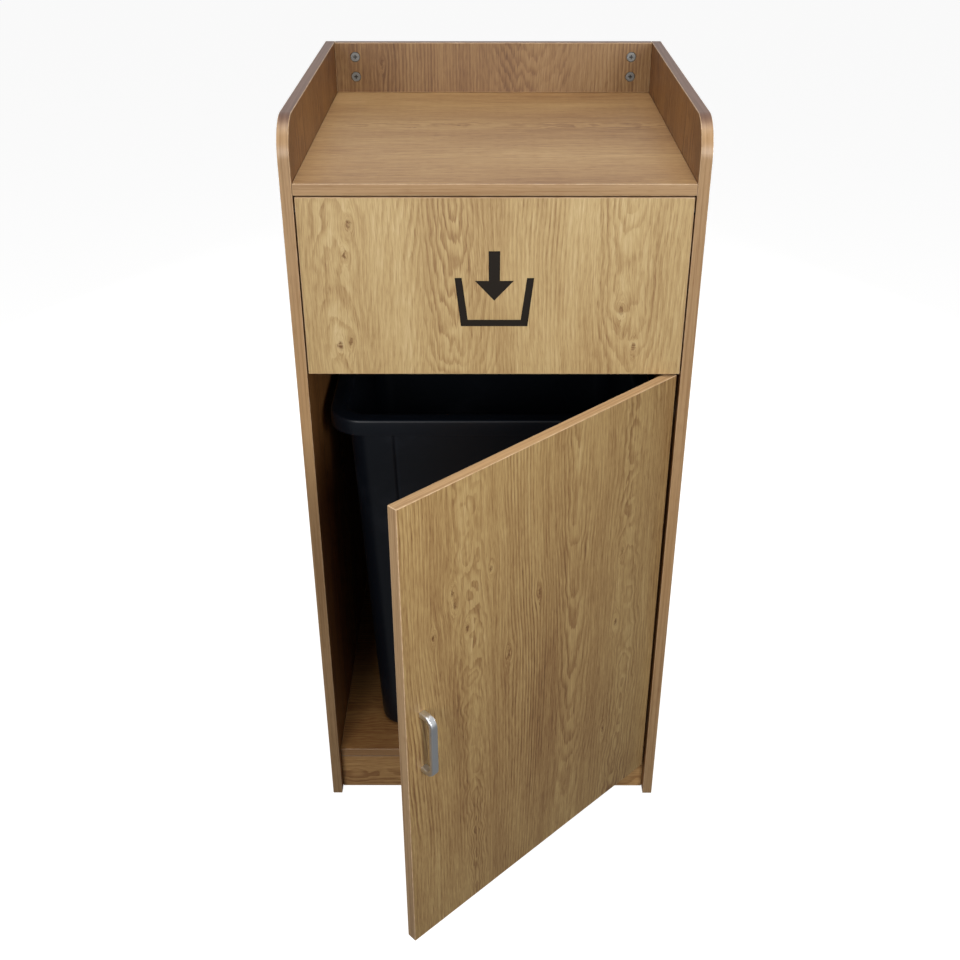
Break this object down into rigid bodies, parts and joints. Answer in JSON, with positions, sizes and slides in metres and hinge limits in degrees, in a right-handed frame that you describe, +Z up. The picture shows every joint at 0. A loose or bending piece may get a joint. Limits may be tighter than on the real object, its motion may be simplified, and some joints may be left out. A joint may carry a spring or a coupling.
{
  "type": "waste receptacle cabinet",
  "caption": "Wood-laminate waste cabinet with a guarded tray shelf, an inward swing flap, a hinged door with a D-handle and a loose black liner bin.",
  "frame": {"origin": "centre of the bounding box at floor level, with the door standing 44.3 degrees open", "axes": "+Z up, +X to the right seen from the front, +Y to the back; the door and the flap face -Y"},
  "size_m": [0.565, 0.9272, 1.174],
  "materials": {
    "side_laminate": "satin oak laminate, vertical grain",
    "shelf_laminate": "satin oak laminate, grain left to right",
    "guard_laminate": "satin oak laminate, vertical grain",
    "deck_laminate": "satin oak laminate, grain left to right",
    "plinth_laminate": "satin oak laminate, grain left to right",
    "strip_laminate": "satin oak laminate",
    "flap_laminate": "satin oak laminate, vertical grain",
    "door_laminate": "satin oak laminate, vertical grain",
    "back_board": "plain oak-print board",
    "cam_zinc": "dull zinc",
    "bolt_steel": "yellow-zinc steel",
    "plain_steel": "bright zinc steel",
    "handle_satin": "satin",
    "hinge_nickel": "nickel plate",
    "sign_dark": "matt dark brown inlay",
    "bush_nylon": "black nylon",
    "bumper_rubber": "soft clear-grey",
    "bin_plastic": "satin black polyethylene"
  },
  "bodies": {
    "cabinet": {"left_side_panel": "side_laminate", "right_side_panel": "side_laminate", "tray_shelf": "shelf_laminate", "back_guard": "guard_laminate", "back_panel": "back_board", "deck": "deck_laminate", "front_plinth": "plinth_laminate", "rear_plinth": "plinth_laminate", "flap_stop_strip": "strip_laminate", "shelf_cam_left_front": "cam_zinc", "shelf_cam_left_rear": "cam_zinc", "deck_cam_left_front": "cam_zinc", "deck_cam_left_rear": "cam_zinc", "guard_cam_left_lower": "cam_zinc", "guard_cam_left_upper": "cam_zinc", "shelf_cam_right_front": "cam_zinc", "shelf_cam_right_rear": "cam_zinc", "deck_cam_right_front": "cam_zinc", "deck_cam_right_rear": "cam_zinc", "guard_cam_right_lower": "cam_zinc", "guard_cam_right_upper": "cam_zinc", "shelf_bolt_left_front": "bolt_steel", "shelf_bolt_left_rear": "bolt_steel", "deck_bolt_left_front": "bolt_steel", "deck_bolt_left_rear": "bolt_steel", "guard_bolt_left_lower": "bolt_steel", "guard_bolt_left_upper": "bolt_steel", "shelf_bolt_right_front": "bolt_steel", "shelf_bolt_right_rear": "bolt_steel", "deck_bolt_right_front": "bolt_steel", "deck_bolt_right_rear": "bolt_steel", "guard_bolt_right_lower": "bolt_steel", "guard_bolt_right_upper": "bolt_steel", "flap_bush_left": "bush_nylon", "flap_bush_right": "bush_nylon", "hinge_arm_lower": "hinge_nickel", "hinge_arm_upper": "hinge_nickel", "hinge_plate_lower": "hinge_nickel", "hinge_plate_upper": "hinge_nickel"},
    "flap": {"flap_panel": "flap_laminate", "flap_pin_left": "plain_steel", "flap_pin_right": "plain_steel", "sign_arrow": "sign_dark", "sign_bin": "sign_dark"},
    "door": {"door_panel": "door_laminate", "handle": "handle_satin", "handle_screw_lower": "plain_steel", "handle_screw_upper": "plain_steel", "door_bumper_left": "bumper_rubber", "door_bumper_right": "bumper_rubber", "hinge_cup_lower": "hinge_nickel", "hinge_cup_upper": "hinge_nickel", "hinge_leaf_lower": "hinge_nickel", "hinge_leaf_upper": "hinge_nickel"},
    "hinge_links": {"hinge_link_lower": "hinge_nickel", "hinge_link_upper": "hinge_nickel"},
    "bin": {"waste_bin": "bin_plastic"}
  },
  "joints": [
    {"name": "flap_swing", "type": "hinge", "parent": "cabinet", "child": "flap", "pos_m": [0, -0.08844, 1.054], "axis": [1, 0, 0], "range_deg": [0, 80]},
    {"name": "door_hinge", "type": "hinge", "parent": "cabinet", "child": "door", "pos_m": [0.2578, -0.09684, 0.4405], "axis": [0, 0, 1], "range_deg": [-44.3, 65.7]},
    {"name": "hinge_link_swing", "type": "hinge", "parent": "cabinet", "child": "hinge_links", "pos_m": [0.2578, -0.09684, 0.4405], "axis": [0, 0, 1], "range_deg": [-22.15, 32.85]},
    {"name": "bin_slide", "type": "slide", "parent": "cabinet", "child": "bin", "axis": [0, 1, 0], "range_m": [-0.015, 0.03]}
  ],
  "couplings": [
    {"joint": "hinge_link_swing", "follows": "door_hinge", "ratio": 0.5}
  ]
}
